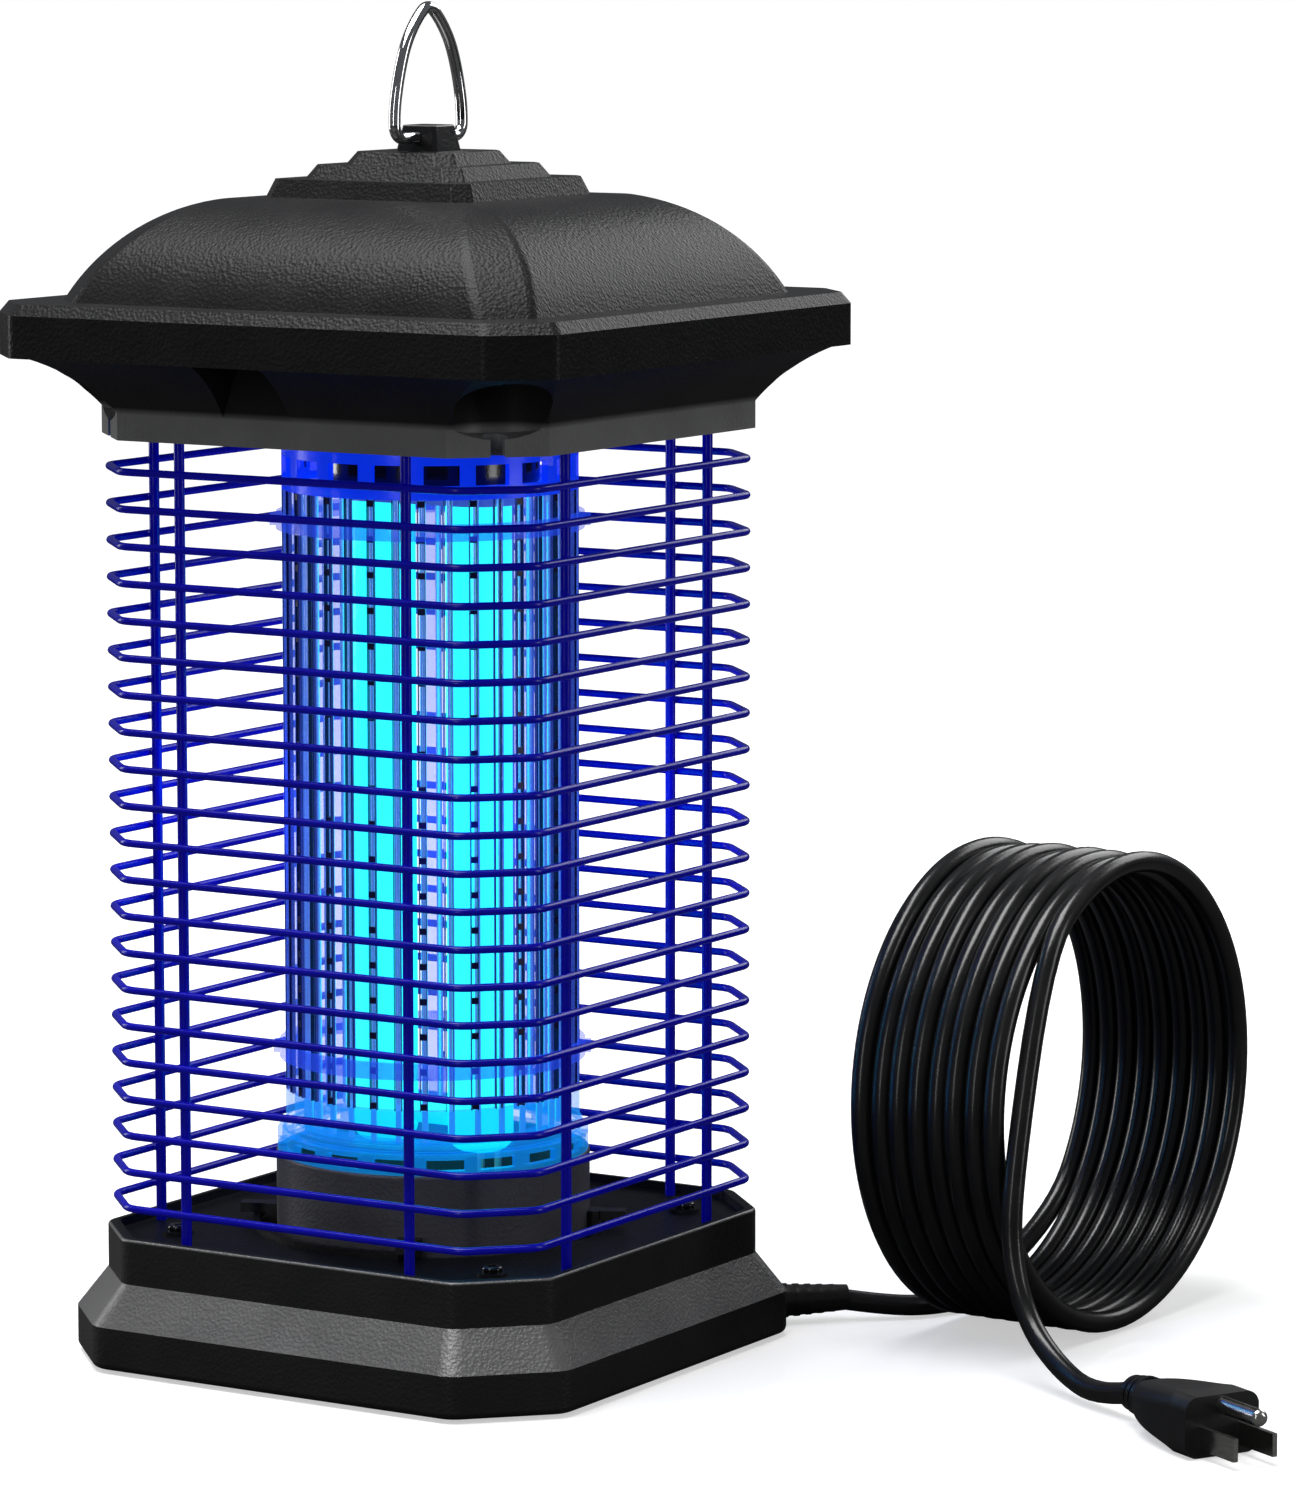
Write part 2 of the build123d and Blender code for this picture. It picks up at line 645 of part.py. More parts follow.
def cord_tube(name, points):
    radii = turn_radii(points)
    path = FilletPolyline(*points, radius=radii)
    tube = sweep((path ^ 0) * Circle(CORD_RADIUS), path=path)
    runs = [(Vector(*b) - Vector(*a)).length for a, b in zip(points, points[1:])]
    print(name, "runs", [round(r) for r in runs], "radii", [round(r) for r in radii])
    print(name, "length", round(path.length), "volume", round(tube.volume / (pi * CORD_RADIUS**2)))
    return tube


def coil_place(along, side, height):
    """A point given along the coil's axis, across it, and above the floor."""
    c, s = cos(radians(COIL_YAW)), sin(radians(COIL_YAW))
    return (COIL_START[0] + along * c - side * s, COIL_START[1] + along * s + side * c, height)


LEAD_START = (diagonal_reach(BASE_HALF, BASE_CHAMFER) + GLAND_LENGTH - 4.0) / sqrt(2)
LEAD_ROUTE = [
    (LEAD_START, LEAD_START, GLAND_HEIGHT),
    (96.0, 94.0, 4.2),
    (106.5, 104.0, CORD_RADIUS),
    (112.5, 121.5, CORD_RADIUS),
]
TAIL_ROUTE = [
    (163.0, 49.8, 75.0),
    (164.5, 48.8, 55.0),
    (164.9, 48.0, 34.0),
    (172.9, 43.5, 17.1),
    (187.5, 35.2, 7.4),
    (204.0, 26.0, 3.4),
    (220.1, 16.9, PLUG_THICK / 2),
]
PLUG_START = TAIL_ROUTE[-1]
PLUG_HEADING = (0.87, -0.49)


def cord_coil():
    """Outer shape of the coil: a single layer of turns, standing on the floor on its side."""
    outer = COIL_RADIUS + CORD_RADIUS
    ring = Cylinder(outer + 0.2, COIL_LENGTH) - Cylinder(COIL_RADIUS - CORD_RADIUS - 0.2, COIL_LENGTH + 2)
    x, y, z = coil_place(COIL_LENGTH / 2, 0, outer + 0.2)
    return Pos(x, y, z) * Rot(0, 0, COIL_YAW) * Rot(0, 90, 0) * ring


def at_plug(shape):
    """Place a shape drawn along +X at the end of the cord, pointing the plug's way."""
    heading = degrees(atan2(PLUG_HEADING[1], PLUG_HEADING[0]))
    return Pos(*PLUG_START) * Rot(0, 0, heading) * shape


def plug_relief():
    body = Pos(4.5, 0, 0) * Rot(0, 90, 0) * Cylinder(CORD_RADIUS + 1.0, 9.0)
    for k in range(3):
        body += Pos(1.6 + 3.0 * k, 0, 0) * Rot(0, 90, 0) * Cylinder(CORD_RADIUS + 2.0 + 0.5 * k, 1.7)
    body = body - Pos(-1, 0, 0) * Rot(0, 90, 0) * Cylinder(CORD_RADIUS, 6.0)
    return at_plug(body)


def plug_body():
    """Moulded grip: narrow at the cord, broad at the blades."""
    stations = [(0, 13.0, 11.0, 4.5), (6, 18.0, 13.0, 5.0), (18, 22.5, 15.5, 5.0)]
    stations.append((26, PLUG_WIDTH, PLUG_THICK, 4.0))
    faces = []
    for x, width, thick, rounding in stations:
        outline = RectangleRounded(width, thick, rounding)
        faces.append(Pos(9.0 + x, 0, 0) * (Plane.YZ * outline))
    body = loft(faces)
    head = extrude(faces[-1], PLUG_LENGTH - 26.0)
    return at_plug(body + head)


def plug_blades():
    face = 9.0 + PLUG_LENGTH
    blades = []
    for side in (-1, 1):
        y = side * BLADE_SPACING / 2
        blades.append(at_plug(block(face, face + 15.9, y - 0.75, y + 0.75, -6.2, 0.2)))
    return group(blades)


def plug_ground_pin():
    face = 9.0 + PLUG_LENGTH
    pin = Pos(face + 9.6, 0, 5.6) * Rot(0, 90, 0) * Cylinder(2.4, 19.2)
    return at_plug(fillet(pin.faces().sort_by(Axis.X)[-1].edges(), 1.8))


# ---------------------------------------------------------------- export


def sub_parts():
    """Each node's name and its shape."""
    makers = [
        base_housing, bottom_plate, rubber_feet, bottom_plate_screws, deck_screws, collar, collar_catches,
        collection_cup, cup_seal, power_board, hv_transformer, hv_capacitors, terminal_block, cord_gland,
        grid_ring_bottom, grid_ring_top, grid_sleeve, sleeve_hoops, grid_rods, lamp_glass, lamp_cap,
        lamp_holder, lamp_leads, upper_housing, housing_screws, roof_cover, roof_seal, hanger_lug,
        lug_washer, lug_nut, hanging_ring, cage_uprights, cord_coil, plug_relief, plug_body, plug_blades,
        plug_ground_pin,
    ]
    shapes = {maker.__name__: maker() for maker in makers}
    shapes["cord_lead"] = cord_tube("cord_lead", LEAD_ROUTE)
    shapes["cord_tail"] = cord_tube("cord_tail", TAIL_ROUTE)
    pitch = (RING_HIGHEST - RING_LOWEST) / (RING_COUNT - 1)
    for k in range(RING_COUNT):
        shapes[f"cage_ring_{k + 1:02d}"] = cage_ring(RING_LOWEST + k * pitch)
    return shapes


os.makedirs("parts", exist_ok=True)
for node, shape in sub_parts().items():
    export_step(shape, f"parts/{node}.step")
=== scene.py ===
import math

import bmesh
import bpy
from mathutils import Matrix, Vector


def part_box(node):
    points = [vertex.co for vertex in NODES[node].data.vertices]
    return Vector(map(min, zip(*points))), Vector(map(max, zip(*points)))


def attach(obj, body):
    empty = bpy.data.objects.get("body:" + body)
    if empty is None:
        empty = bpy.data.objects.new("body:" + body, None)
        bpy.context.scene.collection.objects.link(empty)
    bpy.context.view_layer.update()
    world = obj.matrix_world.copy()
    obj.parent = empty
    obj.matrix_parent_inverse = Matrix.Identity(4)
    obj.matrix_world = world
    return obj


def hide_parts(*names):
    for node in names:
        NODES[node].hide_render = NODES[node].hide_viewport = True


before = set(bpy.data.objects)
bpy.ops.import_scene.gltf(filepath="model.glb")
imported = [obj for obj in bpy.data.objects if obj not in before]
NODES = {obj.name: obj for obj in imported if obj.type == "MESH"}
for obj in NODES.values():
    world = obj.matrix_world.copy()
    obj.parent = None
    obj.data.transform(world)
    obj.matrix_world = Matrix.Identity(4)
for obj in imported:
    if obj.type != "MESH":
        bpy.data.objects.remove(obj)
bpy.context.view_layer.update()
MM = 0.001

# Camera, from the front corner between -Y and +X, a little above the middle of the lantern.
CAMERA_PLACE = (1.0136, -1.5311, 0.4194)
CAMERA_YAW = 31.53
CAMERA_PITCH = 7.62
CAMERA_LENS = 154.2

# Cord route, the same points as the CAD tubes, in metres.
CORD_RADIUS = 0.0031
LEAD_ROUTE = [
    (0.0852, 0.0852, 0.0066),
    (0.0960, 0.0940, 0.0042),
    (0.1065, 0.1040, 0.0031),
    (0.1125, 0.1215, 0.0031),
]
TAIL_ROUTE = [
    (0.1630, 0.0498, 0.0750),
    (0.1645, 0.0488, 0.0550),
    (0.1649, 0.0480, 0.0340),
    (0.1729, 0.0435, 0.0171),
    (0.1875, 0.0352, 0.0074),
    (0.2040, 0.0260, 0.0034),
    (0.2201, 0.0169, 0.0085),
]

# The coil: its turns run along a level axis, from a place on the floor.
COIL_YAW = math.radians(-3.0)
COIL_START = (0.1090, 0.1200)
COIL_RADIUS = 0.0674
COIL_CENTRE = 0.0707
COIL_TURNS = 8.75
COIL_FIRST = 0.0033
COIL_PITCH = 0.00632
COIL_STEPS = 16
COIL_WANDER = 0.0009
LEAD_STEPS = 2

# Sleeve round the lamp: slats with dark edge strips, painted shade for the dark lines that refraction
# draws at each slat edge, and rows of short links across the gaps.
SLAT_COUNT = 36
SLAT_WALL = 1.2 * MM
SLAT_GAP = math.radians(2.4)
SLAT_EDGE = math.radians(0.26)
SLAT_STEPS = 10
RIB_DEPTH = 0.3 * MM
LINK_PITCH = 10.1 * MM
LINK_HALF = 0.9 * MM
LINK_LOWEST = 1.2 * MM
LINK_WALL = 1.0 * MM
LINK_INSET = 0.1 * MM

# Upper housing's plain band, and where the cage rings meet the uprights.
BAND_HEIGHT = 7.9 * MM
CAGE_SPOT = 38.1 * MM
CAGE_PLANE = 69.8 * MM
WELD_RADIUS = 1.3 * MM
WELD_OUT = 1.4 * MM

# Studio lights, all aimed at one place: name, place, width and height, power.
LIGHT_AIM = (0.05, 0.02, 0.2)
LIGHTS = [
    ("top_softbox", (-0.15, -0.2, 1.5), (1.1, 1.1), 34),
    ("left_strip", (-1.5, -0.15, 0.45), (0.25, 1.1), 6),
    ("right_strip", (1.6, 0.35, 0.5), (0.3, 1.1), 4),
    ("back_softbox", (0.3, 1.5, 1.0), (1.2, 0.7), 8),
    ("front_strip", (0.25, -1.9, 0.6), (0.08, 1.2), 3.5),
]

# Blue light that the lamp throws on the cage, from four small sources just outside the sleeve.
SPILL_COUNT = 4
SPILL_REACH = 56 * MM
SPILL_HEIGHT = 160 * MM
SPILL_POWER = 0.05
SPILL_COLOUR = (0.02, 0.1, 1.0)

# Floor: how brightly it glows to the camera near the object and far away.
FLOOR_SIZE = 12.0
FLOOR_DROP = 0.2 * MM
FADE_NEAR = 0.3
FADE_FAR = 0.9
GLOW_NEAR = 0.52
GLOW_FAR = 1.0

# Moulded grain, and the fine unevenness of smooth plastic and of metal.
GRAIN_CELL = 0.9 * MM
GRAIN_DEPTH = 0.11 * MM
ROOF_GRAIN_DEPTH = 0.16 * MM
SMOOTH_DEPTH = 0.03 * MM
METAL_DEPTH = 0.02 * MM


# ---------------------------------------------------------------- camera, light and floor


def make_camera():
    data = bpy.data.cameras.new("camera")
    data.lens = CAMERA_LENS
    data.sensor_fit = "VERTICAL"
    data.sensor_height = 36.0
    camera = bpy.data.objects.new("camera", data)
    camera.location = CAMERA_PLACE
    camera.rotation_euler = (math.radians(90 - CAMERA_PITCH), 0, math.radians(CAMERA_YAW))
    bpy.context.collection.objects.link(camera)
    bpy.context.scene.camera = camera


def area_light(name, place, size, power):
    data = bpy.data.lights.new(name, "AREA")
    data.shape = "RECTANGLE"
    data.size, data.size_y = size
    data.energy = power
    light = bpy.data.objects.new(name, data)
    light.location = place
    aim = Vector(LIGHT_AIM) - Vector(place)
    light.rotation_euler = aim.to_track_quat("-Z", "Y").to_euler()
    bpy.context.collection.objects.link(light)


def spill_light(name, turn):
    data = bpy.data.lights.new(name, "POINT")
    data.color = SPILL_COLOUR
    data.energy = SPILL_POWER
    data.shadow_soft_size = 0.01
    spill = bpy.data.objects.new(name, data)
    spill.location = (SPILL_REACH * math.cos(turn), SPILL_REACH * math.sin(turn), SPILL_HEIGHT)
    spill.visible_glossy = False
    bpy.context.collection.objects.link(spill)


def make_lights():
    for light in LIGHTS:
        area_light(*light)
    for k in range(SPILL_COUNT):
        spill_light(f"lamp_spill_{k}", 2 * math.pi * (k + 0.5) / SPILL_COUNT)


def make_world():
    """White where the camera sees it, dim where it only lights the object."""
    world = bpy.data.worlds.new("studio")
    bpy.context.scene.world = world
    world.use_nodes = True
    tree = world.node_tree
    sky = tree.nodes["Background"]
    sky.inputs["Color"].default_value = (1, 1, 1, 1)
    sky.inputs["Strength"].default_value = 1.0
    dim = tree.nodes.new("ShaderNodeBackground")
    dim.inputs["Color"].default_value = (0.9, 0.94, 1.0, 1)
    dim.inputs["Strength"].default_value = 0.1
    seen = tree.nodes.new("ShaderNodeLightPath")
    mix = tree.nodes.new("ShaderNodeMixShader")
    tree.links.new(seen.outputs["Is Camera Ray"], mix.inputs["Fac"])
    tree.links.new(dim.outputs["Background"], mix.inputs[1])
    tree.links.new(sky.outputs["Background"], mix.inputs[2])
    tree.links.new(mix.outputs["Shader"], tree.nodes["World Output"].inputs["Surface"])


# ---------------------------------------------------------------- materials


def new_material(name, colour, roughness, metallic=0.0):
    """A Principled material; returns it with its tree and shader."""
    material = bpy.data.materials.new(name)
    material.use_nodes = True
    tree = material.node_tree
    shader = tree.nodes["Principled BSDF"]
    shader.inputs["Base Color"].default_value = (*colour, 1)
    shader.inputs["Roughness"].default_value = roughness
    shader.inputs["Metallic"].default_value = metallic
    return material, tree, shader


def object_noise(tree, scale, detail, stretch=(1, 1, 1)):
    """Noise in the object's own metres, and the mapping that feeds it."""
    where = tree.nodes.new("ShaderNodeTexCoord")
    sized = tree.nodes.new("ShaderNodeMapping")
    sized.inputs["Scale"].default_value = stretch
    noise = tree.nodes.new("ShaderNodeTexNoise")
    noise.inputs["Scale"].default_value = scale
    noise.inputs["Detail"].default_value = detail
    tree.links.new(where.outputs["Object"], sized.inputs["Vector"])
    tree.links.new(sized.outputs["Vector"], noise.inputs["Vector"])
    return noise, sized


def vary_colour(tree, shader, source, dark, light):
    """Colour that runs from dark to light with the source."""
    ramp = tree.nodes.new("ShaderNodeValToRGB")
    ramp.color_ramp.elements[0].position = 0.3
    ramp.color_ramp.elements[1].position = 0.7
    ramp.color_ramp.elements[0].color = (*dark, 1)
    ramp.color_ramp.elements[1].color = (*light, 1)
    tree.links.new(source, ramp.inputs["Fac"])
    tree.links.new(ramp.outputs["Color"], shader.inputs["Base Color"])


def vary_roughness(tree, shader, source, low, high):
    span = tree.nodes.new("ShaderNodeMapRange")
    span.inputs["To Min"].default_value = low
    span.inputs["To Max"].default_value = high
    tree.links.new(source, span.inputs["Value"])
    tree.links.new(span.outputs["Result"], shader.inputs["Roughness"])


def add_bump(tree, shader, source, depth):
    bump = tree.nodes.new("ShaderNodeBump")
    bump.inputs["Strength"].default_value = 1.0
    bump.inputs["Distance"].default_value = depth
    tree.links.new(source, bump.inputs["Height"])
    tree.links.new(bump.outputs["Normal"], shader.inputs["Normal"])


def grained_plastic(name, dark, light, low, high, depth=GRAIN_DEPTH, specular=0.5):
    """Moulded plastic with a fine leather grain: rounded cells about a millimetre across."""
    material, tree, shader = new_material(name, dark, low)
    noise, sized = object_noise(tree, scale=55.0, detail=4.0)
    cells = tree.nodes.new("ShaderNodeTexVoronoi")
    cells.feature = "SMOOTH_F1"
    cells.inputs["Scale"].default_value = 1.0 / GRAIN_CELL
    tree.links.new(sized.outputs["Vector"], cells.inputs["Vector"])
    vary_colour(tree, shader, noise.outputs["Fac"], dark, light)
    vary_roughness(tree, shader, noise.outputs["Fac"], low, high)
    add_bump(tree, shader, cells.outputs["Distance"], depth)
    shader.inputs["Specular IOR Level"].default_value = specular
    return material


def paint_light_and_shade(material, output, low, high, stops):
    """Painted light and shade: scales colour and sheen along Z, by the height of a point or by how far
    a face tilts upwards, so that some faces look lit and others shaded.
    """
    tree = material.node_tree
    shader = tree.nodes["Principled BSDF"]
    base = tree.nodes["Color Ramp"]
    where = tree.nodes.new("ShaderNodeTexCoord")
    split = tree.nodes.new("ShaderNodeSeparateXYZ")
    span = tree.nodes.new("ShaderNodeMapRange")
    span.inputs["From Min"].default_value = low
    span.inputs["From Max"].default_value = high
    tree.links.new(where.outputs[output], split.inputs["Vector"])
    tree.links.new(split.outputs["Z"], span.inputs["Value"])
    # Painted light and shade: where this ramp is 1 the colour is kept as lit, and lower values paint it
    # darker as shade.
    scale = tree.nodes.new("ShaderNodeValToRGB")
    while len(scale.color_ramp.elements) < len(stops):
        scale.color_ramp.elements.new(0.5)
    for element, (place, value) in zip(scale.color_ramp.elements, stops):
        element.position = (place - low) / (high - low)
        element.color = (value, value, value, 1)
    tree.links.new(span.outputs["Result"], scale.inputs["Fac"])
    # The painted light and shade multiply the colour.
    painted_light_tint = tree.nodes.new("ShaderNodeMixRGB")
    painted_light_tint.blend_type = "MULTIPLY"
    painted_light_tint.inputs["Fac"].default_value = 1.0
    tree.links.new(base.outputs["Color"], painted_light_tint.inputs["Color1"])
    tree.links.new(scale.outputs["Color"], painted_light_tint.inputs["Color2"])
    tree.links.new(painted_light_tint.outputs["Color"], shader.inputs["Base Color"])
    # Painted sheen: the same ramp scales the specular level, so the shaded faces lose their sheen too.
    gloss = tree.nodes.new("ShaderNodeMath")
    gloss.operation = "MULTIPLY"
    gloss.inputs[1].default_value = shader.inputs["Specular IOR Level"].default_value
    tree.links.new(scale.outputs["Color"], gloss.inputs[0])
    tree.links.new(gloss.outputs["Value"], shader.inputs["Specular IOR Level"])


def smooth_plastic(name, dark, light, low, high, coat=0.0):
    """Smooth plastic or rubber, a little uneven in colour, gloss and surface."""
    material, tree, shader = new_material(name, dark, low)
    noise, _ = object_noise(tree, scale=90.0, detail=4.0)
    vary_colour(tree, shader, noise.outputs["Fac"], dark, light)
    vary_roughness(tree, shader, noise.outputs["Fac"], low, high)
    fine, _ = object_noise(tree, scale=900.0, detail=2.0)
    add_bump(tree, shader, fine.outputs["Fac"], SMOOTH_DEPTH)
    shader.inputs["Coat Weight"].default_value = coat
    return material


def metal(name, dark, light, low, high, stretch=(1, 1, 1)):
    """Metal with faint marks, which run along an axis where stretch differs between axes."""
    material, tree, shader = new_material(name, light, low, 1.0)
    noise, _ = object_noise(tree, scale=260.0, detail=4.0, stretch=stretch)
    vary_colour(tree, shader, noise.outputs["Fac"], dark, light)
    vary_roughness(tree, shader, noise.outputs["Fac"], low, high)
    add_bump(tree, shader, noise.outputs["Fac"], METAL_DEPTH)
    return material


# Painted light: emission that makes a piece glow though it is no lamp.
def paint_glow(material, colour, strength):
    shader = material.node_tree.nodes["Principled BSDF"]
    shader.inputs["Emission Color"].default_value = (*colour, 1)
    shader.inputs["Emission Strength"].default_value = strength
    return material


def see_through(material, alpha):
    material.node_tree.nodes["Principled BSDF"].inputs["Alpha"].default_value = alpha
    material.blend_method = "HASHED"
    return material


def lamp_material():
    """Lit phosphor, a little uneven along the length of each limb."""
    material, tree, shader = new_material("lamp_lit", (0.3, 0.9, 1.0), 0.15)
    noise, _ = object_noise(tree, scale=30.0, detail=2.0, stretch=(1, 1, 0.15))
    ramp = tree.nodes.new("ShaderNodeValToRGB")
    ramp.color_ramp.elements[0].color = (0.0, 0.85, 1.0, 1)
    ramp.color_ramp.elements[1].color = (0.0, 1.0, 1.0, 1)
    ramp.color_ramp.elements[0].position = 0.25
    ramp.color_ramp.elements[1].position = 0.6
    tree.links.new(noise.outputs["Fac"], ramp.inputs["Fac"])
    tree.links.new(ramp.outputs["Color"], shader.inputs["Emission Color"])
    shader.inputs["Emission Strength"].default_value = 1.6
    return material


def floor_material():
    """White studio floor: it glows more with distance, so that it runs into the backdrop."""
    material, tree, shader = new_material("floor", (0.9, 0.9, 0.9), 0.1)
    noise, _ = object_noise(tree, scale=6.0, detail=2.0)
    vary_roughness(tree, shader, noise.outputs["Fac"], 0.07, 0.12)
    shader.inputs["Specular IOR Level"].default_value = 0.4
    shader.inputs["Emission Color"].default_value = (1, 1, 1, 1)
    where = tree.nodes.new("ShaderNodeTexCoord")
    away = tree.nodes.new("ShaderNodeVectorMath")
    away.operation = "LENGTH"
    fade = tree.nodes.new("ShaderNodeMapRange")
    fade.inputs["From Min"].default_value = FADE_NEAR
    fade.inputs["From Max"].default_value = FADE_FAR
    fade.inputs["To Min"].default_value = GLOW_NEAR
    fade.inputs["To Max"].default_value = GLOW_FAR
    tree.links.new(where.outputs["Object"], away.inputs[0])
    tree.links.new(away.outputs["Value"], fade.inputs["Value"])
    tree.links.new(fade.outputs["Result"], shader.inputs["Emission Strength"])
    unlit = tree.nodes.new("ShaderNodeBsdfDiffuse")
    unlit.inputs["Color"].default_value = (0.06, 0.06, 0.06, 1)
    seen = tree.nodes.new("ShaderNodeLightPath")
    mix = tree.nodes.new("ShaderNodeMixShader")
    tree.links.new(seen.outputs["Is Camera Ray"], mix.inputs["Fac"])
    tree.links.new(unlit.outputs["BSDF"], mix.inputs[1])
    tree.links.new(shader.outputs["BSDF"], mix.inputs[2])
    tree.links.new(mix.outputs["Shader"], tree.nodes["Material Output"].inputs["Surface"])
    return material


def grey(value, blue=0.0):
    """A grey of a given value, with a little more in its blue."""
    return (value, value, value + blue)


def make_plastics():
    return {
        # The base's grey is lifted so that its upward slopes look lit; its other faces are painted
        # darker further down, as painted shade.
        "base": grained_plastic(
            "base_black", grey(0.075, 0.0005), grey(0.1, 0.001), 0.36, 0.44, specular=1.0
        ),
        # The housing's light grey is painted light for its plain band; above the band it is painted
        # down to a dark shade further down.
        "housing": grained_plastic(
            "housing_black", grey(0.2, 0.002), grey(0.25, 0.003), 0.4, 0.48
        ),
        "roof": grained_plastic(
            "roof_black", grey(0.009, 0.0005), grey(0.013, 0.0005), 0.34, 0.42,
            depth=ROOF_GRAIN_DEPTH, specular=0.14,
        ),
        "collar": grained_plastic("collar_grey", grey(0.075, 0.002), grey(0.1, 0.003), 0.45, 0.55),
        "gloss": smooth_plastic(
            "gloss_black", grey(0.005, 0.0005), grey(0.008, 0.0005), 0.12, 0.2, coat=0.3
        ),
        "satin": smooth_plastic("satin_black", grey(0.006, 0.0005), grey(0.01, 0.0005), 0.35, 0.5),
        "rubber": smooth_plastic(
            "rubber_black", grey(0.008, 0.0003), grey(0.013, 0.0003), 0.2, 0.28
        ),
        "white": smooth_plastic("lamp_cap_white", (0.6, 0.61, 0.63), (0.72, 0.73, 0.75), 0.3, 0.4),
        "board": smooth_plastic("board_green", (0.01, 0.09, 0.03), (0.02, 0.13, 0.05), 0.3, 0.4),
        "red": smooth_plastic("capacitor_red", (0.25, 0.03, 0.015), (0.35, 0.05, 0.02), 0.25, 0.35),
        "lead": smooth_plastic("lead_white", (0.55, 0.55, 0.52), (0.65, 0.65, 0.62), 0.4, 0.5),
    }


def make_blues():
    return {
        # Painted light, partly: the cage wires are dark, and their strong blue stands for the lamp's
        # blue light on them as well as their own dark blue paint.
        "cage": smooth_plastic("cage_blue", (0.003, 0.002, 0.26), (0.005, 0.004, 0.38), 0.18, 0.28),
        "insulator": smooth_plastic(
            "insulator_blue", (0.01, 0.03, 0.75), (0.02, 0.06, 0.9), 0.2, 0.3
        ),
        "seat": smooth_plastic("insulator_seat", (0.01, 0.08, 0.8), (0.02, 0.14, 0.9), 0.15, 0.25),
        "sleeve": smooth_plastic("sleeve_blue", (0.12, 0.14, 0.8), (0.2, 0.25, 0.95), 0.12, 0.2),
        "hoop": smooth_plastic("hoop_blue", (0.01, 0.04, 0.8), (0.03, 0.08, 0.9), 0.15, 0.25),
        # Painted shade: the dark edge strips stand for the dark lines that refraction draws at the
        # edges of the clear slats.
        "edge": smooth_plastic(
            "sleeve_edge_painted_shade", (0.002, 0.004, 0.05), (0.004, 0.008, 0.12), 0.2, 0.3
        ),
        "link": smooth_plastic(
            "sleeve_link_blue", (0.002, 0.003, 0.03), (0.004, 0.006, 0.06), 0.25, 0.35
        ),
    }


def make_metals():
    return {
        "chrome": metal("chrome_wire", (0.72, 0.72, 0.73), (0.9, 0.9, 0.91), 0.03, 0.08),
        "nickel": metal(
            "nickel_plate", (0.6, 0.59, 0.56), (0.78, 0.77, 0.74), 0.14, 0.26, (1, 1, 6)
        ),
        "steel": metal("zinc_steel", (0.45, 0.46, 0.48), (0.62, 0.63, 0.65), 0.25, 0.4),
        "rod": metal("rod_steel", (0.6, 0.65, 0.8), (0.8, 0.84, 0.95), 0.2, 0.3, (1, 1, 0.1)),
        "copper": metal(
            "copper_winding", (0.4, 0.16, 0.07), (0.65, 0.3, 0.14), 0.3, 0.45, (1, 1, 12)
        ),
    }


def paint_lamp_glow(made):
    """Painted light: the lit lamp's glow on the pieces round it, painted in as emission on the rods,
    cage wires and blue plastic pieces; and how far each plastic piece lets light through.
    """
    paint_glow(made["rod"], (0.1, 0.45, 1.0), 0.25)
    paint_glow(made["cage"], (0.0, 0.0, 0.5), 0.14)
    see_through(paint_glow(made["insulator"], (0.0, 0.05, 1.0), 0.45), 0.82)
    see_through(paint_glow(made["seat"], (0.0, 0.45, 1.0), 0.45), 0.42)
    see_through(paint_glow(made["sleeve"], (0.08, 0.18, 1.0), 0.36), 0.22)
    see_through(paint_glow(made["hoop"], (0.03, 0.12, 1.0), 0.4), 0.4)
    made["cage"].node_tree.nodes["Principled BSDF"].inputs["Specular IOR Level"].default_value = 0.3


def make_materials():
    made = make_plastics() | make_blues() | make_metals()
    made["lamp"] = lamp_material()
    # Painted light and shade on the base, by which way each face points: slopes that face up keep their
    # colour and sheen as if lit, upright and downward faces are painted dark, and level tops darkest.
    painted_tilt_light = [(0.2, 0.22), (0.5, 1.0), (0.85, 1.0), (0.97, 0.1)]
    paint_light_and_shade(made["base"], "Normal", -1.0, 1.0, painted_tilt_light)
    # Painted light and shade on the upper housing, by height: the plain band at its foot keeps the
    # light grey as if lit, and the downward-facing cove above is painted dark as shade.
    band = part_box("upper_housing")[0].z + BAND_HEIGHT
    painted_cove_shade = [(band - 0.0005, 1.0), (band + 0.0015, 0.12)]
    paint_light_and_shade(made["housing"], "Object", band - 0.02, band + 0.02, painted_cove_shade)
    paint_lamp_glow(made)
    return made


def paint(node, material):
    for slot in NODES[node].material_slots:
        slot.material = material


def paint_nodes(made):
    finishes = {
        "base": ["base_housing", "bottom_plate"],
        "housing": ["upper_housing"],
        "roof": ["roof_cover"],
        "collar": ["collar"],
        "gloss": ["hanger_lug", "lamp_holder", "terminal_block", "deck_screws", "housing_screws"],
        "satin": ["collar_catches", "collection_cup", "plug_body"],
        "rubber": ["rubber_feet", "cup_seal", "cord_gland", "roof_seal", "plug_relief"],
        "steel": ["bottom_plate_screws", "lug_washer", "lug_nut"],
        "rod": ["grid_rods"],
        "chrome": ["hanging_ring"],
        "nickel": ["plug_blades", "plug_ground_pin"],
        "cage": ["cage_uprights"] + [name for name in NODES if name.startswith("cage_ring_")],
        "insulator": ["grid_ring_top"],
        "seat": ["grid_ring_bottom"],
        "hoop": ["sleeve_hoops"],
        "lamp": ["lamp_glass"],
        "white": ["lamp_cap"],
        "board": ["power_board"],
        "copper": ["hv_transformer"],
        "red": ["hv_capacitors"],
        "lead": ["lamp_leads"],
    }
    for finish, names in finishes.items():
        for name in names:
            paint(name, made[finish])


# ---------------------------------------------------------------- building helpers


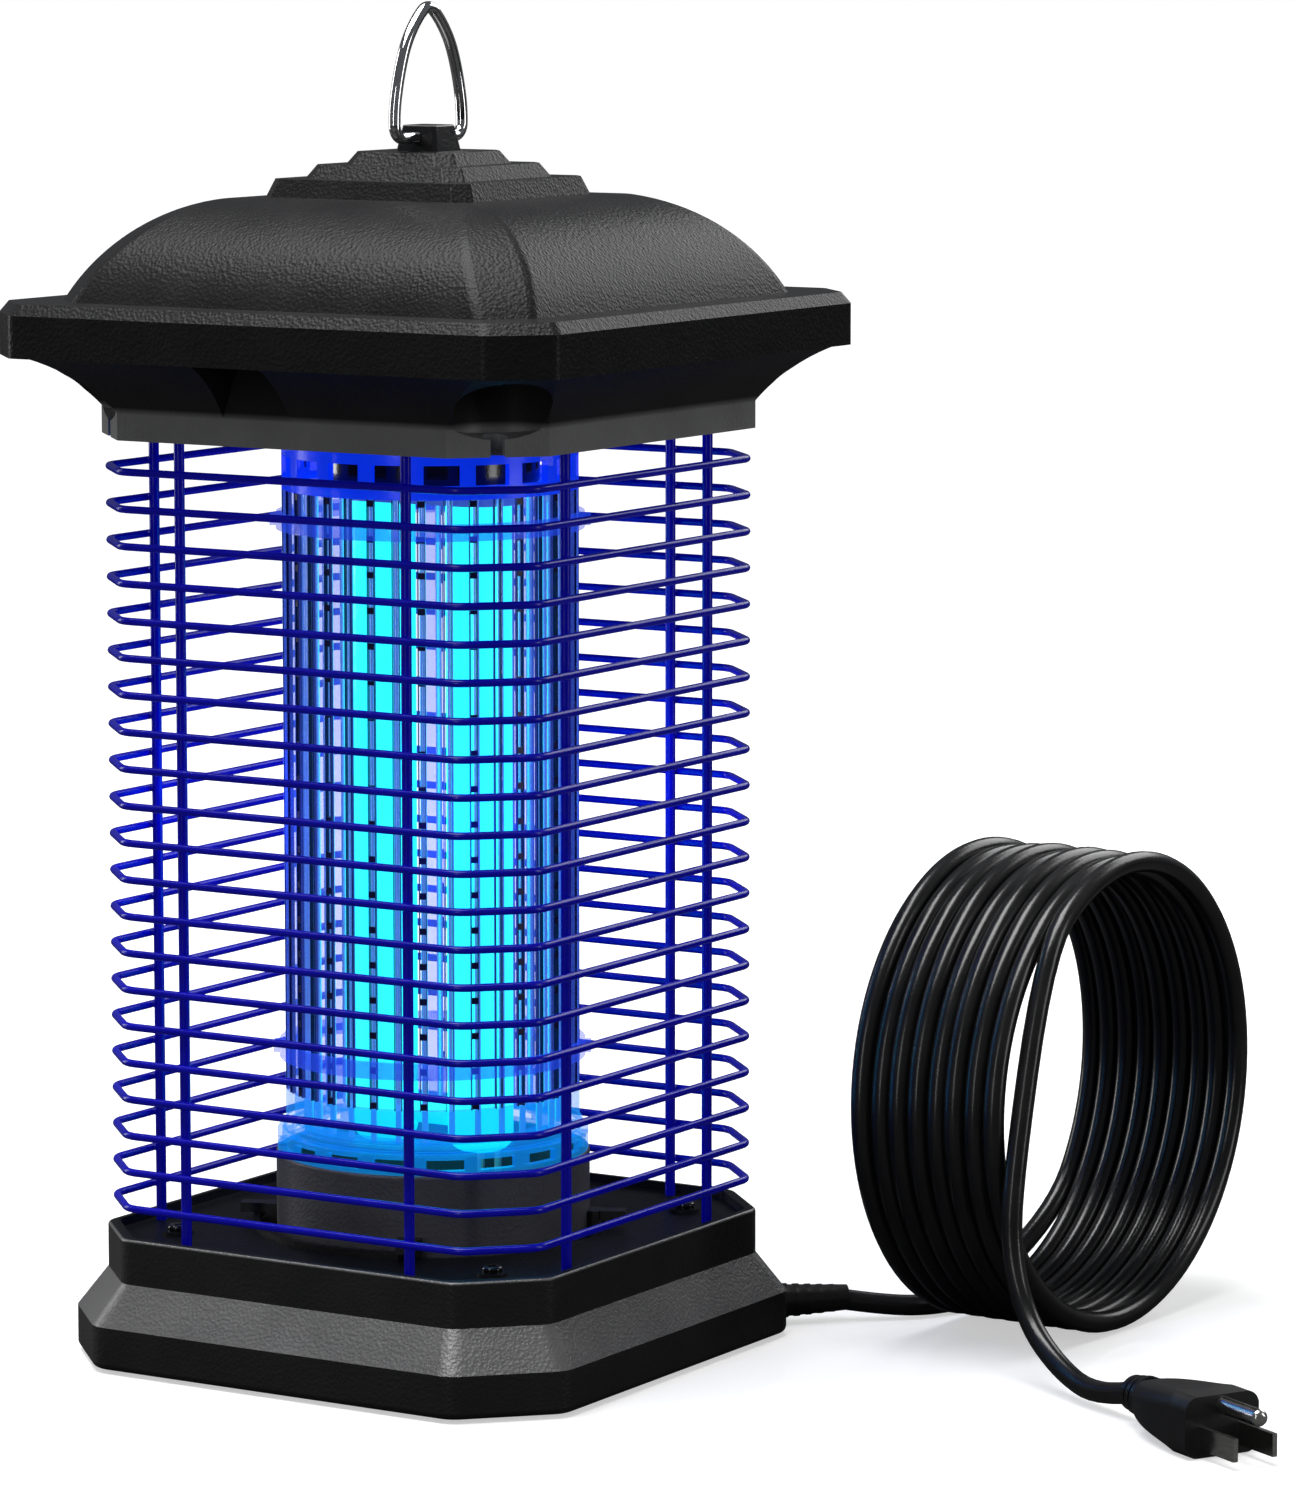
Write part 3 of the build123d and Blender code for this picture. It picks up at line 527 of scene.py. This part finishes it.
def mesh_piece(name, bm, material, smooth_angle):
    """A piece on the root body, shaded smooth except across edges sharper than an angle in degrees."""
    mesh = bpy.data.meshes.new(name)
    bmesh.ops.recalc_face_normals(bm, faces=bm.faces)
    bm.to_mesh(mesh)
    bm.free()
    mesh.materials.append(material)
    piece = bpy.data.objects.new(name, mesh)
    bpy.context.collection.objects.link(piece)
    mesh.shade_smooth()
    mesh.set_sharp_from_angle(angle=math.radians(smooth_angle))
    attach(piece, "root")
    return piece


def narrow_bar(bm, radius, wall, start, end, low, high):
    """A bar between two angles a little apart on a circle, and between two heights."""
    corners = [(radius, low), (radius, high), (radius - wall, high), (radius - wall, low)]
    a, b = [
        [bm.verts.new((r * math.cos(angle), r * math.sin(angle), z)) for r, z in corners]
        for angle in (start, end)
    ]
    for k in range(4):
        bm.faces.new((a[k], a[(k + 1) % 4], b[(k + 1) % 4], b[k]))
    bm.faces.new(a)
    bm.faces.new(b)


# ---------------------------------------------------------------- cord


def coil_point(turn, radius):
    """A place on the coil after so many turns, counted from the bottom."""
    phi = 2 * math.pi * turn
    along = COIL_FIRST + COIL_PITCH * turn
    side = radius * math.sin(phi)
    c, s = math.cos(COIL_YAW), math.sin(COIL_YAW)
    x = COIL_START[0] + along * c - side * s
    y = COIL_START[1] + along * s + side * c
    return (x, y, COIL_CENTRE - radius * math.cos(phi))


def coil_route():
    """Control points of the turns, slightly uneven in size but all resting on the floor."""
    hold = 1 / math.cos(math.pi / COIL_STEPS)
    last = round(COIL_STEPS * COIL_TURNS) - 1
    points = []
    for k in range(LEAD_STEPS, last):
        turn = k / COIL_STEPS
        lift = math.sin(math.pi * turn) ** 2
        radius = COIL_RADIUS * hold + lift * COIL_WANDER * math.sin(2.3 * turn + 0.6)
        points.append(coil_point(turn, radius))
    return points


def nurbs(name, points, radius):
    curve = bpy.data.curves.new(name, "CURVE")
    curve.dimensions = "3D"
    curve.bevel_depth = radius
    curve.bevel_resolution = 5
    curve.resolution_u = 6
    spline = curve.splines.new("NURBS")
    spline.points.add(len(points) - 1)
    for point, place in zip(spline.points, points):
        point.co = (*place, 1)
    spline.order_u = 3
    spline.use_endpoint_u = True
    piece = bpy.data.objects.new(name, curve)
    bpy.context.collection.objects.link(piece)
    return piece


def make_cord(made):
    """Lead, coil and tail on one spline. The coil's last turn stands for the tail's first point."""
    cord = nurbs("cord", LEAD_ROUTE + coil_route() + TAIL_ROUTE[1:], CORD_RADIUS)
    cord.data.materials.append(made["rubber"])
    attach(cord, "root")
    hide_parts("cord_lead", "cord_coil", "cord_tail")


# ---------------------------------------------------------------- lamp column


def ribbed_slat(bm, radius, wall, start, end, low, high):
    """An upright slat whose outer face carries five fine ribs."""
    near = radius - wall
    outer, inner = [], []
    for k in range(SLAT_STEPS + 1):
        angle = start + (end - start) * k / SLAT_STEPS
        c, s = math.cos(angle), math.sin(angle)
        far = radius if k % 2 else radius - RIB_DEPTH
        outer.append([bm.verts.new((far * c, far * s, z)) for z in (low, high)])
        inner.append([bm.verts.new((near * c, near * s, z)) for z in (low, high)])
    loop = outer + inner[::-1]
    for a, b in zip(loop, loop[1:] + loop[:1]):
        bm.faces.new((a[0], b[0], b[1], a[1]))
    bm.faces.new([pair[0] for pair in loop])
    bm.faces.new([pair[1] for pair in loop])


def add_slats(slats, edges, radius, low, high):
    """Ribbed slats all round, each with a dark strip at either side: painted shade for the dark lines
    that refraction draws at the slat edges.
    """
    pitch = 2 * math.pi / SLAT_COUNT
    for k in range(SLAT_COUNT):
        start = k * pitch + SLAT_GAP / 2
        end = (k + 1) * pitch - SLAT_GAP / 2
        ribbed_slat(slats, radius, SLAT_WALL, start + SLAT_EDGE, end - SLAT_EDGE, low, high)
        for a in (start, end - SLAT_EDGE):
            narrow_bar(edges, radius, SLAT_WALL, a, a + SLAT_EDGE, low, high)


def add_links(links, radius, low, high):
    """Rows of links, each across every second gap."""
    rows = int((high - low - 2 * MM) / LINK_PITCH) + 1
    for row in range(rows):
        z = low + LINK_LOWEST + row * LINK_PITCH
        for k in range(0, SLAT_COUNT, 2):
            middle = 2 * math.pi * k / SLAT_COUNT
            start, end = middle - SLAT_GAP / 2, middle + SLAT_GAP / 2
            narrow_bar(links, radius, LINK_WALL, start, end, z - LINK_HALF, z + LINK_HALF)


def make_sleeve(made):
    """The slatted sleeve, in place of the plain CAD tube."""
    low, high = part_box("grid_sleeve")
    slats, edges, links = bmesh.new(), bmesh.new(), bmesh.new()
    add_slats(slats, edges, high.x, low.z, high.z)
    add_links(links, high.x - LINK_INSET, low.z, high.z)
    sleeve = mesh_piece("sleeve_slats", slats, made["sleeve"], smooth_angle=20)
    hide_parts("grid_sleeve")
    mesh_piece("sleeve_edges_painted_shade", edges, made["edge"], smooth_angle=20)
    mesh_piece("sleeve_links", links, made["link"], smooth_angle=20)


def weld_spots():
    """Places on the outer side of each upright, where a ring wire passes it."""
    out = CAGE_PLANE + WELD_OUT
    spots = []
    for side in (-CAGE_SPOT, CAGE_SPOT):
        for face in (-out, out):
            spots += [(side, face), (face, side)]
    return spots


def make_welds(made):
    """Small beads where each ring is welded to the uprights."""
    bm = bmesh.new()
    for name in sorted(n for n in NODES if n.startswith("cage_ring_")):
        low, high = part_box(name)
        z = (low.z + high.z) / 2
        for x, y in weld_spots():
            bead = bmesh.ops.create_icosphere(bm, subdivisions=2, radius=WELD_RADIUS)
            for vert in bead["verts"]:
                vert.co.z *= 0.8
                vert.co += Vector((x, y, z))
    mesh_piece("cage_welds", bm, made["cage"], smooth_angle=80)


# ---------------------------------------------------------------- scene


def make_floor():
    bpy.ops.mesh.primitive_plane_add(size=FLOOR_SIZE, location=(0, 0, -FLOOR_DROP))
    floor = bpy.context.object
    floor.name = "floor"
    floor.data.materials.append(floor_material())


make_camera()
made = make_materials()
make_cord(made)
make_world()
make_lights()
make_floor()
paint_nodes(made)
make_sleeve(made)
make_welds(made)
bpy.context.scene.view_settings.view_transform = "Standard"
